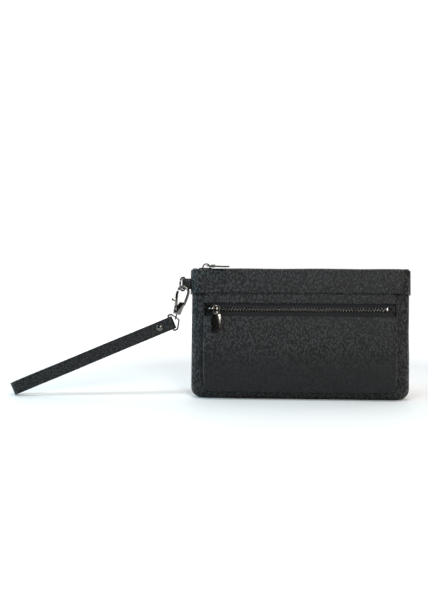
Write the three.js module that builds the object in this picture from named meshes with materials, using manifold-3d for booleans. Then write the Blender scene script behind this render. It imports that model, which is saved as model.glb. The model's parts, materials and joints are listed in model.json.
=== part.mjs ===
// Wristlet wallet: a lined leather pouch with a zipped mouth, a zipped front pocket that
// stands out on a gusset, and a wrist strap hung from a D-ring by a swivel hook.
// Millimetres. The origin is the middle of the flat base, +X to the right as the front pocket
// is faced, +Y towards the back and +Z up.
import * as THREE from 'three';
import { mergeVertices } from 'three/addons/utils/BufferGeometryUtils.js';
import Module from 'manifold-3d';

const wasm = await Module();
wasm.setup();

const { lerp, smoothstep, degToRad } = THREE.MathUtils;

// ---- Driving dimensions -------------------------------------------------------------------

// Stock and clearances
const LEATHER = 1.2;
const LINING = 0.5;
const GAP = 0.3;
const SEAM = 0.15;

// Pouch
const POUCH_HEIGHT = 129;
const POUCH_HALF_WIDTH_TOP = 108;
const POUCH_HALF_WIDTH_BASE = 109.5;
const BASE_HALF_DEPTH = 7.5;
const BASE_LAP = 1;
const LOWER_HALF_DEPTH = 10.4;
const BELLY_HALF_DEPTH = 11;
const BELLY_Z = 45;
const MOUTH_HALF_DEPTH = 6;
const BASE_ROUND = 8;
const CORNER_RADIUS = 10;
const SIDE_REACH = 10;
const PANEL_TOP = POUCH_HEIGHT - 11;
const LINING_TOP = POUCH_HEIGHT - 4.5;

// Yoke, the leather band round the mouth
const YOKE_BOTTOM = 106.5;
const YOKE_SIDE_DROP = 3;
const YOKE_CORNER_DROP = 2;
const YOKE_TOP = POUCH_HEIGHT + 0.9;
const YOKE_TOP_DEPTH = 7.5;
const MOUTH_CHANNEL = 4.9;

// Front pocket
const POCKET_HALF_WIDTH = 96;
const POCKET_BOTTOM = 7.7;
const POCKET_CORNER = 12;
const POCKET_ROUND = 4;
const POCKET_TOP_DEPTH = 18;
const POCKET_TILT = 12;
const POCKET_KNEE_Z = 75;
const POCKET_SAG = 15;
const POCKET_BAND_TOP = 113;
const GUSSET_TOP = 99;
const FRONT_ZIP_Z = 90;
const FRONT_WINDOW = 12.2;

// Zips
const TOOTH_PITCH = 3;
const TOOTH_WIDTH = 1.1;
const TOOTH_REACH = 0.9;
const CHAIN_THICKNESS = 2.4;
const RAIL_IN = 1.6;
const RAIL_OUT = 2.6;
const TAPE = 0.6;
const STOP_LENGTH = 1.6;
const SLIDER_LENGTH = 12.5;
const SLIDER_HALF_WIDTH = 4.2;
const SLIDER_PLATE = 1.2;
const CROWN_HALF_SPAN = 4.3;
const CROWN_OFFSET = 0.9;
const CROWN_HEIGHT = 4.5;
const CROWN_WIDTH = 1.8;
const CROWN_BAR = 1.3;
const BAIL_WIRE = 0.65;
const BAIL_DROP = 4;
const PULL_WIDTH = 8.6;
const PULL_LENGTH = 18.8;
const PULL_THICKNESS = 1.4;
const TOP_ZIP_HALF = 103;
const FRONT_ZIP_HALF = 92;
const TOP_PARKED = 8.4;
const TOP_PULL_TURN = -50;
const FRONT_PARKED = 4.4;

// Side tab and D-ring
const RING_X = 6.5;
const RING_MIDDLE_Z = 114.5;
const RING_HALF_HEIGHT = 6.6;
const RING_REACH = 8.5;
const RING_WIRE = 0.95;
const RING_TURN = 65;
const TAB_HEIGHT = 10.7;

// Swivel hook
const HOOK_LEAN = 16;
const HOOK_LENGTH = 23;
const HOOK_BOW_RADIUS = 5.4;
const HOOK_WIRE = 1.3;
const HOOK_DEPTH = 5;
const GATE_DEPTH = 2.5;
const GATE_PIN = 0.7;
const GATE_TIP_DROP = 0.4;
const EYE_RADIUS = 2.3;
const EYE_WIRE = 0.7;

// Strap and its ring
const STRAP_LENGTH = 177;
const STRAP_WIDTH = 13;
const STRAP_LAYER = 1;
const STRAP_BIGHT = 4.6;
const STRAP_RING_WIRE = 0.9;
const STRAP_RING_REACH = 9;
const STRAP_RING_LEG = 4;
const RIVET_FROM_BAR = 12;
const RIVET_CAP = 3.4;
const RIVET_POST = 1.3;

// Card slots
const CARD_WIDTH = 92;
const CARD_STEP = 14;
const CARD_SLOTS = 3;
const CARD_PANEL_BOTTOM = 26;
const CARD_SLOT_HEIGHT = 46;

// ---- Materials ----------------------------------------------------------------------------

const leather = { color: 0x1d2023, roughness: 0.55, metalness: 0 };
const lining = { color: 0x26262b, roughness: 0.85, metalness: 0 };
const webbing = { color: 0x141517, roughness: 0.9, metalness: 0 };
const gunmetal = { color: 0x3a3a3c, roughness: 0.28, metalness: 1 };

// ---- Helpers ------------------------------------------------------------------------------

const wallet = new THREE.Group();

function group(parent, position, rotation = [0, 0, 0]) {
  const made = new THREE.Group();
  made.position.set(...position);
  made.rotation.set(...rotation.map(degToRad));
  parent.add(made);
  return made;
}

function add(parent, name, geometry, look) {
  const mesh = new THREE.Mesh(geometry, new THREE.MeshStandardMaterial(look));
  mesh.name = name;
  parent.add(mesh);
}

// A geometry with shared vertices merged, flat triangles dropped and its faces turned outward.
function closed(geometry) {
  geometry.deleteAttribute('normal');
  geometry.deleteAttribute('uv');
  const merged = mergeVertices(geometry, 1e-4);
  const at = merged.attributes.position;
  const corner = (k) => new THREE.Vector3().fromBufferAttribute(at, k);
  const kept = [];
  let volume = 0;
  for (let k = 0; k < merged.index.count; k += 3) {
    const [a, b, c] = [0, 1, 2].map((n) => merged.index.getX(k + n));
    if (a === b || b === c || c === a) continue;
    kept.push(a, b, c);
    volume += corner(a).dot(corner(b).cross(corner(c)));
  }
  if (volume < 0) kept.reverse();
  merged.setIndex(kept);
  return merged;
}

function solid(geometry) {
  const merged = closed(geometry);
  const vertProperties = new Float32Array(merged.attributes.position.array);
  const triVerts = new Uint32Array(merged.index.array);
  return new wasm.Manifold(new wasm.Mesh({ numProp: 3, vertProperties, triVerts }));
}

function surface(manifold) {
  const { vertProperties, triVerts } = manifold.getMesh();
  const geometry = new THREE.BufferGeometry();
  geometry.setAttribute('position', new THREE.BufferAttribute(vertProperties, 3));
  geometry.setIndex(new THREE.BufferAttribute(triVerts, 1));
  return geometry;
}

function joined(...geometries) {
  return surface(geometries.map(solid).reduce((sum, next) => sum.add(next)));
}

function cut(geometry, ...tools) {
  return surface(tools.map(solid).reduce((left, tool) => left.subtract(tool), solid(geometry)));
}

// A sheet of material: one grid of points on each of its two faces, place(column, row, layer).
function sheet(columns, rows, place) {
  const [nu, nv] = [columns.length - 1, rows.length - 1];
  const geometry = new THREE.BoxGeometry(1, 1, 1, nu, 1, nv);
  const at = geometry.attributes.position;
  for (let k = 0; k < at.count; k += 1) {
    const column = columns[Math.round((at.getX(k) + 0.5) * nu)];
    const row = rows[Math.round((at.getZ(k) + 0.5) * nv)];
    at.setXYZ(k, ...place(column, row, Math.round(at.getY(k) + 0.5)));
  }
  return closed(geometry);
}

function box(x0, x1, y0, y1, z0, z1) {
  const geometry = new THREE.BoxGeometry(x1 - x0, y1 - y0, z1 - z0);
  return geometry.translate((x0 + x1) / 2, (y0 + y1) / 2, (z0 + z1) / 2);
}

// A cylinder along Y, through the point (x, z).
function pin(radius, y0, y1, x, z, sides = 16) {
  const geometry = new THREE.CylinderGeometry(radius, radius, y1 - y0, sides);
  return geometry.translate(x, (y0 + y1) / 2, z);
}

// A flat outline in X and Z, thickened from y0 to y1.
function plate(outline, y0, y1, curveSegments = 4) {
  const options = { depth: y1 - y0, bevelEnabled: false, curveSegments };
  return new THREE.ExtrudeGeometry(outline, options).rotateX(Math.PI / 2).translate(0, y1, 0);
}

function outlineOf(points) {
  return new THREE.Shape(points.map(([x, z]) => new THREE.Vector2(x, z)));
}

// A closed line through the corners, each rounded by the radius, as points in X and Z.
function roundedLoop(corners, radius, steps = 4) {
  const path = new THREE.Path();
  const spots = corners.map(([x, z]) => new THREE.Vector2(x, z));
  spots.forEach((spot, k) => {
    const before = spots.at(k - 1);
    const after = spots[(k + 1) % spots.length];
    const start = spot.clone().add(before.clone().sub(spot).setLength(radius));
    const end = spot.clone().add(after.clone().sub(spot).setLength(radius));
    if (k === 0) path.moveTo(start.x, start.y);
    else path.lineTo(start.x, start.y);
    path.quadraticCurveTo(spot.x, spot.y, end.x, end.y);
  });
  return path.getPoints(steps);
}

// A round wire along a closed flat loop of points in X and Z.
function wireLoop(points, radius, sides = 10) {
  const count = points.length;
  const geometry = new THREE.TorusGeometry(1, 0.1, sides, count);
  const at = geometry.attributes.position;
  for (let j = 0; j <= sides; j += 1) {
    const turn = (2 * Math.PI * (j % sides)) / sides;
    for (let i = 0; i <= count; i += 1) {
      const here = points[i % count];
      const before = points[(i + count - 1) % count];
      const after = points[(i + 1) % count];
      const along = after.clone().sub(before).normalize();
      const out = radius * Math.cos(turn);
      at.setXYZ(j * (count + 1) + i, here.x + along.y * out, radius * Math.sin(turn), here.y - along.x * out);
    }
  }
  return closed(geometry);
}

// A round wire along a curve, with flat ends.
function wire(curve, radius, steps, sides = 10) {
  const section = new THREE.Shape().absarc(0, 0, radius, 0, 2 * Math.PI);
  const options = { extrudePath: curve, steps, curveSegments: sides, bevelEnabled: false };
  return new THREE.ExtrudeGeometry(section, options);
}

// Columns of a sheet that wraps round both sides: angles from the side seam to the flat face.
function sideColumns(steps) {
  const quarter = [];
  for (let k = steps; k >= 0; k -= 1) quarter.push((k / steps) * (Math.PI / 2));
  const left = quarter.map((a) => ({ side: -1, a }));
  return [...left, ...left.toReversed().map(({ a }) => ({ side: 1, a }))];
}

// ---- Pouch: two outer panels and two linings, nested by their inset from the outside ------

const pouchHalfWidth = (z) => lerp(POUCH_HALF_WIDTH_BASE, POUCH_HALF_WIDTH_TOP, z / POUCH_HEIGHT);

function pouchDepth(z) {
  const lower = lerp(LOWER_HALF_DEPTH, BELLY_HALF_DEPTH, Math.min(z / BELLY_Z, 1));
  return lerp(lower, MOUTH_HALF_DEPTH, smoothstep(z, BELLY_Z, POUCH_HEIGHT));
}

function pouchRows(top, wallSteps) {
  const rows = [{ base: 0 }, { base: 1 }];
  for (let k = 1; k <= 3; k += 1) rows.push({ turn: (k / 4) * (Math.PI / 2) });
  for (let k = 0; k <= wallSteps; k += 1) rows.push({ z: lerp(BASE_ROUND, top, k / wallSteps) });
  return rows;
}

// One half of the pouch, from inset `outer` to inset `inner`; facing is -1 at the front.
function pouchShell(facing, outer, inner, top, columnSteps, wallSteps) {
  return sheet(sideColumns(columnSteps), pouchRows(top, wallSteps), ({ side, a }, row, layer) => {
    const inset = lerp(inner, outer, layer);
    const turn = row.z === undefined ? row.turn ?? 0 : Math.PI / 2;
    let z = row.z ?? BASE_ROUND - (BASE_ROUND - inset) * Math.cos(turn);
    let depth = pouchDepth(z) - inset;
    if (row.z === undefined) {
      depth = lerp(BASE_HALF_DEPTH, pouchDepth(BASE_ROUND) - inset, Math.sin(turn));
    }
    if (row.base === 0) depth = SEAM + facing * BASE_LAP;
    const rim = pouchHalfWidth(z) - CORNER_RADIUS + (CORNER_RADIUS - inset) * Math.sin(turn);
    const x = rim - (SIDE_REACH - inset) * (1 - Math.sin(a));
    const cornerZ = CORNER_RADIUS - (CORNER_RADIUS - inset) * Math.cos(turn);
    const climbed = (z - BASE_ROUND) / (top - BASE_ROUND);
    const lift = row.z === undefined ? cornerZ - z : (CORNER_RADIUS - BASE_ROUND) * (1 - climbed);
    z += lift * (1 - Math.cos(a));
    return [side * x, facing * (SEAM + (depth - SEAM) * Math.cos(a)), z];
  });
}

const LINING_OUTER = LEATHER + GAP;
const LINING_INNER = LINING_OUTER + LINING;

// ---- Yoke: a band that drapes over the pocket top and turns in at the mouth ---------------

function pocketDepth(z) {
  const slope = Math.tan(degToRad(POCKET_TILT));
  const below = Math.max(POCKET_KNEE_Z - z, 0) / (POCKET_KNEE_Z - POCKET_BOTTOM);
  return POCKET_TOP_DEPTH + slope * (POCKET_KNEE_Z - z) - POCKET_SAG * below ** 2;
}

function yokeProfile(facing) {
  const over = LEATHER + GAP;
  const low = facing < 0 ? pocketDepth(YOKE_BOTTOM) : pouchDepth(YOKE_BOTTOM);
  const middleZ = facing < 0 ? POCKET_BAND_TOP + 2.5 : (YOKE_BOTTOM + POUCH_HEIGHT) / 2;
  const middle = facing < 0 ? pocketDepth(POCKET_BAND_TOP) - 0.4 : pouchDepth(YOKE_BOTTOM);
  return [
    [low + over, YOKE_BOTTOM],
    [middle + over, middleZ],
    [YOKE_TOP_DEPTH, YOKE_TOP - LEATHER],
    [YOKE_TOP_DEPTH - LEATHER, YOKE_TOP],
    [MOUTH_CHANNEL, YOKE_TOP],
  ];
}

// The same profile moved in by the thickness, along the normals of its two legs.
function innerProfile(profile) {
  const last = profile.length - 1;
  return profile.map(([depth, z], k) => {
    if (k === last) return [depth, z - LEATHER];
    if (k === last - 1) return [depth - LEATHER / 4, z - LEATHER];
    if (k === last - 2) return [depth - LEATHER, z - LEATHER / 4];
    return [depth - LEATHER, z];
  });
}

function yoke(facing) {
  const outer = yokeProfile(facing);
  const inner = innerProfile(outer);
  const rows = outer.map((_, k) => k);
  const reach = SIDE_REACH + LEATHER + GAP;
  return sheet(sideColumns(5), rows, ({ side, a }, k, layer) => {
    const [depth, z] = layer ? outer[k] : inner[k];
    const inset = layer ? 0 : LEATHER;
    const rim = pouchHalfWidth(YOKE_BOTTOM) + GAP + LEATHER - (k < 2 ? 0 : 0.3);
    const x = rim - inset - (reach - inset) * (1 - Math.sin(a));
    const drop = k === 0 ? YOKE_SIDE_DROP : k > 2 ? YOKE_CORNER_DROP : 0;
    const y = facing * (SEAM + (depth - SEAM) * Math.cos(a));
    return [side * x, y, z - drop * (1 - Math.cos(a))];
  });
}

// ---- Side tab, which the yokes and panels are slit for -------------------------------------

const TAB_X = -pouchHalfWidth(YOKE_BOTTOM) - RING_X - 1.2;
const TAB_BORE = RING_WIRE + GAP;
const TAB_LOW = RING_MIDDLE_Z - TAB_HEIGHT / 2;
const TAB_INNER_X = -pouchHalfWidth(PANEL_TOP) + LEATHER - GAP;
const tabSlit = () => box(TAB_X, TAB_INNER_X + GAP, -LEATHER - 2 * GAP, LEATHER + 2 * GAP,
  TAB_LOW - GAP, TAB_LOW + TAB_HEIGHT + GAP);

// A strip folded round a bar at x = 0, its two ends running along +X to `length`.
function foldOutline(bore, thickness, length, throat) {
  const half = SEAM;
  const shape = new THREE.Shape();
  const outer = bore + thickness;
  shape.moveTo(length, half);
  shape.bezierCurveTo(throat, half, throat * 0.6, bore, 0, bore);
  shape.absarc(0, 0, bore, Math.PI / 2, (3 * Math.PI) / 2);
  shape.bezierCurveTo(throat * 0.6, -bore, throat, -half, length, -half);
  shape.lineTo(length, -half - thickness);
  shape.bezierCurveTo(throat, -half - thickness, throat * 0.6, -outer, 0, -outer);
  shape.absarc(0, 0, outer, (3 * Math.PI) / 2, Math.PI / 2, true);
  shape.bezierCurveTo(throat * 0.6, outer, throat, half + thickness, length, half + thickness);
  return shape;
}

// A flat outline in X and Y, standing from z0 to z1.
function prism(outline, z0, z1, curveSegments = 6) {
  const options = { depth: z1 - z0, bevelEnabled: false, curveSegments };
  return new THREE.ExtrudeGeometry(outline, options).translate(0, 0, z0);
}

add(wallet, 'front_panel', cut(pouchShell(-1, 0, LEATHER, PANEL_TOP, 5, 7), tabSlit()), leather);
add(wallet, 'back_panel', cut(pouchShell(1, 0, LEATHER, PANEL_TOP, 5, 7), tabSlit()), leather);
add(wallet, 'front_lining', pouchShell(-1, LINING_OUTER, LINING_INNER, LINING_TOP, 4, 5), lining);
add(wallet, 'back_lining', pouchShell(1, LINING_OUTER, LINING_INNER, LINING_TOP, 4, 5), lining);
add(wallet, 'front_yoke', cut(yoke(-1), tabSlit()), leather);
add(wallet, 'back_yoke', cut(yoke(1), tabSlit()), leather);

const tabPlace = group(wallet, [TAB_X, 0, 0]);
const tabOutline = foldOutline(TAB_BORE, LEATHER, TAB_INNER_X - TAB_X, RING_X);
add(tabPlace, 'side_tab', prism(tabOutline, TAB_LOW, TAB_LOW + TAB_HEIGHT), leather);

// ---- Card slots on the back lining ----------------------------------------------------------

function cardSheet(order, bottom, top) {
  const start = LINING_INNER + GAP + order * (LINING + GAP);
  const rows = [0, 1, 2, 3].map((k) => lerp(bottom, top, k / 3));
  return sheet([-1, 1], rows, (side, z, layer) => {
    const depth = pouchDepth(z) - start - (layer ? 0 : LINING);
    return [(side * CARD_WIDTH) / 2, depth, z];
  });
}

const cardTop = CARD_PANEL_BOTTOM + CARD_SLOT_HEIGHT + CARD_SLOTS * CARD_STEP;
add(wallet, 'card_panel', cardSheet(0, CARD_PANEL_BOTTOM, cardTop - CARD_STEP / 2), lining);
for (let k = 0; k < CARD_SLOTS; k += 1) {
  const top = CARD_PANEL_BOTTOM + CARD_SLOT_HEIGHT + (CARD_SLOTS - 1 - k) * CARD_STEP;
  add(wallet, `card_slot_${k + 1}`, cardSheet(k + 1, top - CARD_SLOT_HEIGHT, top), leather);
}

// ---- Front pocket -----------------------------------------------------------------------------

const POCKET_CORNER_RISE = POCKET_BOTTOM + POCKET_CORNER;
const ZIP_HALF_WINDOW = FRONT_WINDOW / 2;

// Pocket skin from inset `outer` to `inner`, between the heights of the rows given.
function pocketSkin(rows, outer, inner) {
  return sheet(sideColumns(3), rows, ({ side, a }, row, layer) => {
    const inset = lerp(inner, outer, layer);
    const turn = row.turn ?? Math.PI / 2;
    let z = row.z ?? POCKET_BOTTOM + POCKET_ROUND - (POCKET_ROUND - inset) * Math.cos(turn);
    const straight = POCKET_HALF_WIDTH - POCKET_CORNER;
    const rim = straight + (POCKET_CORNER - inset) * Math.sin(turn);
    const cornerZ = POCKET_CORNER_RISE - (POCKET_CORNER - inset) * Math.cos(turn);
    if (row.z === undefined) z += (cornerZ - z) * (1 - Math.cos(a));
    else if (row.lift) z += row.lift * (1 - Math.cos(a));
    const edge = Math.max(pocketDepth(z) - POCKET_ROUND, pouchDepth(z) + GAP);
    const depth = lerp(edge, pocketDepth(z) - inset, Math.sin(turn) * Math.cos(a));
    const x = rim - (POCKET_ROUND - inset) * (1 - Math.sin(a));
    return [side * x, -depth, z];
  });
}

const wallRows = (bottom, top, steps) =>
  Array.from({ length: steps + 1 }, (_, k) => ({ z: lerp(bottom, top, k / steps) }));

const lowerTop = FRONT_ZIP_Z - ZIP_HALF_WINDOW;
const bandBottom = FRONT_ZIP_Z + ZIP_HALF_WINDOW;
const turnRows = [0, 1, 2, 3].map((k) => ({ turn: (k / 4) * (Math.PI / 2) }));
const cornerTop = { z: POCKET_BOTTOM + POCKET_ROUND, lift: POCKET_CORNER - POCKET_ROUND };
const halfCorner = { z: POCKET_CORNER_RISE + 2, lift: 2 };
const lowerRows = [...turnRows, cornerTop, halfCorner, ...wallRows(30, lowerTop, 5)];
add(wallet, 'pocket_panel', pocketSkin(lowerRows, 0, LEATHER), leather);
add(wallet, 'pocket_top_band', pocketSkin(wallRows(bandBottom, POCKET_BAND_TOP, 2), 0, LEATHER), leather);

// The gusset runs down one side, along the bottom and up the other.
function gussetStations() {
  const right = [[0, POCKET_BOTTOM, 0]];
  for (let k = 0; k <= 4; k += 1) {
    const turn = (k / 4) * (Math.PI / 2);
    const x = POCKET_HALF_WIDTH - POCKET_CORNER + POCKET_CORNER * Math.sin(turn);
    right.push([x, POCKET_CORNER_RISE - POCKET_CORNER * Math.cos(turn), turn]);
  }
  for (const z of [30, 45, 60, 78, GUSSET_TOP]) right.push([POCKET_HALF_WIDTH, z, Math.PI / 2]);
  const left = right.slice(1).map(([x, z, turn]) => [-x, z, -turn]);
  return [...left.toReversed(), ...right];
}

function gusset() {
  return sheet(gussetStations(), [0, 1], ([x, z, turn], edge, layer) => {
    const inset = layer ? 0 : LEATHER;
    const back = pouchDepth(z) + GAP;
    const front = pocketDepth(z) - POCKET_ROUND - GAP;
    return [x - inset * Math.sin(turn), -lerp(back, front, edge), z + inset * Math.cos(turn)];
  });
}
add(wallet, 'pocket_gusset', gusset(), leather);

function pocketLiningSheet(depthAt, bottom, top) {
  const half = POCKET_HALF_WIDTH - LEATHER - 3 * GAP - POCKET_ROUND;
  return sheet([-half, half], wallRows(bottom, top, 6), (x, { z }, layer) => {
    return [x, -(depthAt(z) - (layer ? 0 : LINING)), z];
  });
}
const liningBottom = POCKET_BOTTOM + POCKET_ROUND + LEATHER + GAP;
add(wallet, 'pocket_front_lining',
  pocketLiningSheet((z) => pocketDepth(z) - LEATHER - GAP, liningBottom, lowerTop - 5.5), lining);
add(wallet, 'pocket_back_lining',
  pocketLiningSheet((z) => pouchDepth(z) + GAP + LINING, liningBottom, POCKET_BAND_TOP), lining);

// ---- Zips: chain along X in the plane Y = 0 of the zip's own frame, face towards -Y ---------

// One row of teeth on its rail, as a comb; side is +1 above the centre line.
function rack(side, start, end) {
  const points = [[start, RAIL_OUT], [start, RAIL_IN]];
  const shift = side > 0 ? 0 : TOOTH_PITCH / 2;
  for (let x = start + shift + 0.2; x + TOOTH_WIDTH < end; x += TOOTH_PITCH) {
    points.push([x, RAIL_IN], [x, -TOOTH_REACH], [x + TOOTH_WIDTH, -TOOTH_REACH], [x + TOOTH_WIDTH, RAIL_IN]);
  }
  points.push([end, RAIL_IN], [end, RAIL_OUT]);
  const outline = outlineOf(points.map(([x, n]) => [x, side * n]));
  return plate(outline, -CHAIN_THICKNESS / 2, CHAIN_THICKNESS / 2);
}

function sliderBody() {
  const half = CHAIN_THICKNESS / 2 + GAP;
  const out = half + SLIDER_PLATE;
  const [l, w] = [SLIDER_LENGTH / 2, SLIDER_HALF_WIDTH];
  const lid = outlineOf([[-l, -w + 0.6], [-l + 1.6, -w], [l - 1.6, -w], [l, -w + 1.2],
    [l, w - 1.2], [l - 1.6, w], [-l + 1.6, w], [-l, w - 0.6]]);
  const pieces = [plate(lid, -out, -half), plate(lid, half, out)];
  for (const n of [-1, 1]) {
    for (const y of [-1, 1]) {
      const [n0, n1] = [n * (w - 1.1), n * w].sort((p, q) => p - q);
      const [y0, y1] = [y * (TAPE / 2 + GAP), y * (half + 0.2)].sort((p, q) => p - q);
      pieces.push(box(-l + 1.8, l - 1.8, y0, y1, n0, n1));
    }
  }
  pieces.push(box(-l + 0.3, -l + 2, -half - 0.2, half + 0.2, -RAIL_IN + 0.4, RAIL_IN - 0.4));
  const arch = new THREE.Shape();
  arch.absellipse(0, 0, CROWN_HALF_SPAN, CROWN_HEIGHT, 0, Math.PI);
  arch.lineTo(-CROWN_HALF_SPAN, -0.4);
  arch.lineTo(-CROWN_HALF_SPAN + CROWN_BAR, -0.4);
  arch.absellipse(0, 0, CROWN_HALF_SPAN - CROWN_BAR, CROWN_HEIGHT - CROWN_BAR, Math.PI, 0, true);
  arch.lineTo(CROWN_HALF_SPAN - CROWN_BAR, -0.4);
  arch.lineTo(CROWN_HALF_SPAN, -0.4);
  const crown = prism(arch, -CROWN_WIDTH / 2, CROWN_WIDTH / 2, 8).rotateX(Math.PI);
  const legs = [-1, 1].map((s) => {
    const x = s * (CROWN_HALF_SPAN - CROWN_BAR / 2);
    return box(x - CROWN_BAR / 2, x + CROWN_BAR / 2, -0.6, 0.5, -CROWN_WIDTH / 2, CROWN_WIDTH / 2);
  });
  const bridge = joined(crown, ...legs);
  pieces.push(bridge.translate(CROWN_OFFSET, -out, 0));
  return joined(...pieces);
}

const BAIL_Y = -(CHAIN_THICKNESS / 2 + GAP + SLIDER_PLATE + 1.95);
const LEG_X = CROWN_OFFSET + CROWN_HALF_SPAN - CROWN_BAR / 2;
const BAIL_LEFT = -2.5;
const BAIL_RIGHT = 3.4;
const BAIL_TOP = CROWN_WIDTH / 2 + GAP + BAIL_WIRE + 0.8;
const BARREL_RADIUS = BAIL_WIRE + GAP + 0.65;

// The puller turns about the crown's leg; its plate turns about the bail's lower bar.
function puller(slider, name, turn) {
  const bail = group(slider, [LEG_X, BAIL_Y, 0], [0, turn, 0]);
  const corners = [[BAIL_LEFT, BAIL_TOP], [BAIL_RIGHT, BAIL_TOP],
    [BAIL_RIGHT, -BAIL_DROP], [BAIL_LEFT, -BAIL_DROP]];
  add(bail, `${name}_bail`, wireLoop(roundedLoop(corners, 1), BAIL_WIRE, 8), gunmetal);
  const middle = (BAIL_LEFT + BAIL_RIGHT) / 2;
  const hinge = group(bail, [middle, 0, -BAIL_DROP]);
  const inside = (BAIL_RIGHT - BAIL_LEFT) / 2 - BAIL_WIRE - GAP - 0.1;
  const barrel = new THREE.CylinderGeometry(BARREL_RADIUS, BARREL_RADIUS, 2 * inside, 14);
  const bore = new THREE.CylinderGeometry(BAIL_WIRE + GAP, BAIL_WIRE + GAP, 4 * inside, 14);
  const top = -BARREL_RADIUS + 0.4;
  const flat = roundedLoop([[-PULL_WIDTH / 2, top], [PULL_WIDTH / 2, top],
    [PULL_WIDTH / 2, -PULL_LENGTH], [-PULL_WIDTH / 2, -PULL_LENGTH]], 0.9, 3);
  const tab = plate(new THREE.Shape(flat), -PULL_THICKNESS / 2, PULL_THICKNESS / 2);
  const body = joined(barrel.rotateZ(Math.PI / 2), tab);
  add(hinge, `${name}_tab`, cut(body, bore.rotateZ(Math.PI / 2)), gunmetal);
}

// A whole zip: half is its half length, parked is the slider's distance in from the left end.
function zip(parent, name, half, parked, tapes) {
  const sliderX = -half + parked;
  const start = sliderX + 2.6 - SLIDER_LENGTH / 2;
  const end = half - STOP_LENGTH - 6;
  const [upper, lower] = tapes.names;
  [[1, upper], [-1, lower]].forEach(([side, label]) => {
    add(parent, `${name}_teeth_${label}`, rack(side, start, end), gunmetal);
    add(parent, `${name}_tape_${label}`, tapes.shape(side), webbing);
    const stopX = Math.max(start - 4.4, -half);
    if (tapes.topStops) {
      const stop = box(stopX, stopX + STOP_LENGTH, -CHAIN_THICKNESS / 2, CHAIN_THICKNESS / 2, 0, 1);
      stop.translate(0, 0, side > 0 ? RAIL_IN : -RAIL_OUT);
      add(parent, `${name}_top_stop_${label}`, stop, gunmetal);
    }
  });
  const bottomStop = box(end + GAP, end + GAP + STOP_LENGTH + 0.4, -CHAIN_THICKNESS / 2,
    CHAIN_THICKNESS / 2, -RAIL_OUT, RAIL_OUT);
  add(parent, `${name}_bottom_stop`, bottomStop, gunmetal);
  const slider = group(parent, [sliderX, 0, 0]);
  add(slider, `${name}_slider`, sliderBody(), gunmetal);
  puller(slider, `${name}_pull`, tapes.turn);
}

const TAPE_EDGE = RAIL_OUT + GAP;
const CHAIN_SINK = LEATHER + GAP + TAPE / 2;

// Front zip: flat tapes behind the leather, tilted as the pocket's upper part is.
const frontChainY = -pocketDepth(FRONT_ZIP_Z) + CHAIN_SINK;
const frontZip = group(wallet, [0, frontChainY, FRONT_ZIP_Z], [-POCKET_TILT, 0, 0]);
const flatTape = (side) => {
  const outer = ZIP_HALF_WINDOW + 5;
  const [n0, n1] = side > 0 ? [TAPE_EDGE, outer] : [-outer, -TAPE_EDGE];
  return box(-FRONT_ZIP_HALF, FRONT_ZIP_HALF, -TAPE / 2, TAPE / 2, n0, n1);
};
zip(frontZip, 'front_zip', FRONT_ZIP_HALF, FRONT_PARKED,
  { names: ['upper', 'lower'], shape: flatTape, topStops: false, turn: 0 });

// Top zip: the face points up, and each tape turns down inside the yoke.
const CHAIN_Z = YOKE_TOP - CHAIN_SINK;
const topZip = group(wallet, [0, 0, CHAIN_Z], [-90, 0, 0]);
const turnedTape = (side) => {
  const wall = YOKE_TOP_DEPTH - LEATHER - GAP;
  const flatEnd = pouchHalfWidth(POUCH_HEIGHT) - SIDE_REACH;
  const columns = [-1, -0.5, 0, 0.5, 1].map((k) => k * 5 + Math.sign(k) * (TOP_ZIP_HALF - 5));
  const profile = [[TAPE_EDGE, 0], [wall, 0], [wall, 7]];
  return sheet(columns, [0, 1, 2], (x, k, layer) => {
    const beyond = Math.max(Math.abs(x) - flatEnd, 0) / SIDE_REACH;
    const inset = layer ? 0 : TAPE;
    const [n, drop] = profile[k];
    const reach = k === 0 ? n : (n - inset) * Math.sqrt(1 - beyond ** 2);
    const depth = k === 2 ? drop : inset - TAPE / 2;
    return [x, depth, side * reach];
  });
};
zip(topZip, 'top_zip', TOP_ZIP_HALF, TOP_PARKED,
  { names: ['back', 'front'], shape: turnedTape, topStops: true, turn: TOP_PULL_TURN });

// Leather ends that close the slot beyond the tapes.
function zipEnd(side) {
  const middle = pouchHalfWidth(POUCH_HEIGHT) - SIDE_REACH;
  const [long, wide] = [SIDE_REACH - GAP, MOUTH_CHANNEL - GAP];
  const from = Math.asin((TOP_ZIP_HALF + GAP - middle) / long);
  const points = [];
  for (let k = 0; k <= 8; k += 1) {
    const a = lerp(from, Math.PI - from, k / 8);
    points.push(new THREE.Vector2(side * (middle + long * Math.sin(a)), wide * Math.cos(a)));
  }
  return prism(new THREE.Shape(points), YOKE_TOP - 2.6, YOKE_TOP + 0.2);
}
add(wallet, 'zip_end_left', zipEnd(-1), leather);
add(wallet, 'zip_end_right', zipEnd(1), leather);

// ---- D-ring -------------------------------------------------------------------------------------

// The ring stands in the plane of its own X (away from its bar) and Z.
const ringPlace = group(wallet, [TAB_X, 0, RING_MIDDLE_Z], [0, 0, 180 + RING_TURN]);
function dLoop() {
  const points = [];
  const straight = 4.2;
  const [long, tall] = [RING_REACH - straight, RING_HALF_HEIGHT];
  for (let k = 0; k <= 12; k += 1) {
    const a = lerp(-Math.PI / 2, Math.PI / 2, k / 12);
    points.push(new THREE.Vector2(straight + long * Math.cos(a) ** 0.9, tall * Math.sin(a)));
  }
  points.push(new THREE.Vector2(0.5, tall), new THREE.Vector2(0, tall - 0.5));
  points.push(new THREE.Vector2(0, -tall + 0.5), new THREE.Vector2(0.5, -tall));
  return points;
}
add(ringPlace, 'd_ring', wireLoop(dLoop(), RING_WIRE), gunmetal);

// ---- Swivel hook: its frame stands on the underside of its body, Z along the hook -------------

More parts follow.
